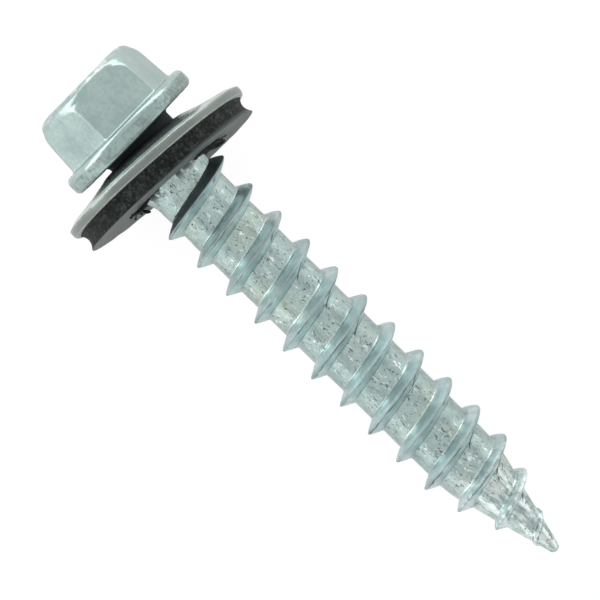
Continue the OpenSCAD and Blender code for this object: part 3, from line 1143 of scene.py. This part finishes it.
def white_table():
    """White table that glows for the camera and in far reflections, and still takes a shadow."""
    material, sheet = new_material("white_table")
    rays = []
    for kind in ("Camera", "Transmission", "Glossy"):
        rays.append(sheet.add("ShaderNodeLightPath", {}, {}, output=f"Is {kind} Ray"))
    camera, through, glossy = rays
    half_length = (19, 0, 0)
    aside = sheet.vector("SUBTRACT", sheet.vector("ABSOLUTE", sheet.millimetres()), half_length)
    distance = sheet.vector("LENGTH", sheet.vector("MAXIMUM", aside, (0, 0, 0)), output=1)
    far = distance.between(5, 26)
    seen = camera + through + glossy * far
    matt = sheet.add("ShaderNodeBsdfDiffuse", {}, {"Color": (0.92, 0.92, 0.92)})
    glow = sheet.add("ShaderNodeEmission", {}, {"Color": (1, 1, 1), "Strength": 1.1})
    mixed = sheet.add("ShaderNodeMixShader", {}, {0: seen * 0.8, 1: matt, 2: glow})
    sheet.add("ShaderNodeOutputMaterial", {}, {"Surface": mixed})
    return material


# Bright windows round the table: the direction of the middle, and how much light is added
WINDOWS = (
    ((-0.95, -0.2, 0.15), 0.1),
    ((-0.72, 0.68, 0.1), 1.7),
    ((-0.72, -0.68, 0.1), 2.1),
    ((0.5, 0.85, 0.2), 0.2),
    ((0.5, -0.85, 0.2), 0.35),
)
# Grey of the tent from the horizon, 0, to straight above, 1
SKY = (
    (0.0, 1.0),
    (0.12, 0.98),
    (0.26, 0.92),
    (0.43, 0.66),
    (0.58, 0.88),
    (0.72, 0.84),
    (0.84, 0.98),
    (0.93, 0.66),
    (1.0, 0.38),
)


def studio_world(scene):
    """A pale tent round the table, with dim bands above and bright windows round the sides."""
    world = bpy.data.worlds.new("studio")
    scene.world = world
    world.use_nodes = True
    sheet = NodeSheet(world.node_tree)
    direction = sheet.add("ShaderNodeTexCoord", {}, {}, output=0)
    up = sheet.add("ShaderNodeSeparateXYZ", {}, {0: direction}, output=2)
    rise = up.math("ARCSINE", up) * (2 / math.pi)
    level = sheet.add("ShaderNodeValToRGB", {"stops": SKY}, {0: rise})
    windows = 0.0
    for middle, strength in WINDOWS:
        towards = sheet.vector("DOT_PRODUCT", direction, Vector(middle).normalized(), output=1)
        windows = towards.between(0.7, 0.95) * strength + windows
    low = rise.between(0.42, 0.2)
    glow = sheet.add("ShaderNodeBackground", {}, {"Color": level, "Strength": 1.0 + windows * low})
    sheet.add("ShaderNodeOutputWorld", {}, {"Surface": glow})


class ROOFING_OT_stage(bpy.types.Operator):
    """Lays the table and sets the light and the camera"""

    bl_idname = "roofing.stage"
    bl_label = "Stage"

    def execute(self, context):
        """Adds the floor, the world and a camera that looks down."""
        scene = context.scene
        settings = scene.roofing_screw.stage
        deselect_all()
        bpy.ops.mesh.primitive_plane_add(size=settings.floor_size, location=(0, 0, CAD_BOX[0].z))
        floor = context.object
        floor.name = "table"
        floor.data.materials.append(white_table())
        studio_world(scene)
        scene.view_settings.view_transform = "Standard"
        deselect_all()
        tilt = Matrix.Rotation(settings.camera_tilt, 4, "Y")
        turn = Matrix.Rotation(settings.camera_turn, 4, "Z")
        aim = Vector((settings.aim_x, settings.aim_y, settings.aim_z))
        bpy.ops.object.camera_add(
            location=aim + tilt @ Vector((0, 0, settings.camera_far)),
            rotation=(tilt @ turn).to_euler(),
        )
        camera = context.object
        camera.name = "camera"
        camera.data.lens = settings.lens
        camera.data.sensor_width = 36
        camera.data.clip_start = 0.01
        scene.camera = camera
        return {"FINISHED"}


# Panel and registration


class ROOFING_PT_panel(bpy.types.Panel):
    """Lists the pieces and their sizes"""

    bl_idname = "ROOFING_PT_panel"
    bl_label = "Roofing screw"
    bl_space_type = "VIEW_3D"
    bl_region_type = "UI"
    bl_category = "Roofing screw"

    def draw(self, context):
        """Draws the buttons, and under them each group of sizes."""
        for operator in OPERATORS:
            self.layout.operator(operator.bl_idname)
        sizes = context.scene.roofing_screw
        for group in (sizes.head, sizes.shank, sizes.washer, sizes.finish, sizes.stage):
            column = self.layout.box().column()
            for name in group.__annotations__:
                column.prop(group, name)


OPERATORS = (
    ROOFING_OT_screw,
    ROOFING_OT_steel_washer,
    ROOFING_OT_rubber_seal,
    ROOFING_OT_torn_shreds,
    ROOFING_OT_stage,
)
CLASSES = (
    HeadSizes,
    ShankSizes,
    WasherSizes,
    FinishColours,
    StageSettings,
    RoofingScrew,
    *OPERATORS,
    ROOFING_PT_panel,
)


def register():
    """Registers the classes and hangs the sizes on the scene."""
    for cls in CLASSES:
        bpy.utils.register_class(cls)
    bpy.types.Scene.roofing_screw = PointerProperty(type=RoofingScrew)


def unregister():
    """Takes the sizes and the classes out again."""
    del bpy.types.Scene.roofing_screw
    for cls in reversed(CLASSES):
        bpy.utils.unregister_class(cls)


def main():
    """Makes every piece and the stage."""
    register()
    bpy.ops.roofing.screw()
    bpy.ops.roofing.steel_washer()
    bpy.ops.roofing.rubber_seal()
    bpy.ops.roofing.torn_shreds()
    bpy.ops.roofing.stage()


if __name__ == "__main__":
    main()
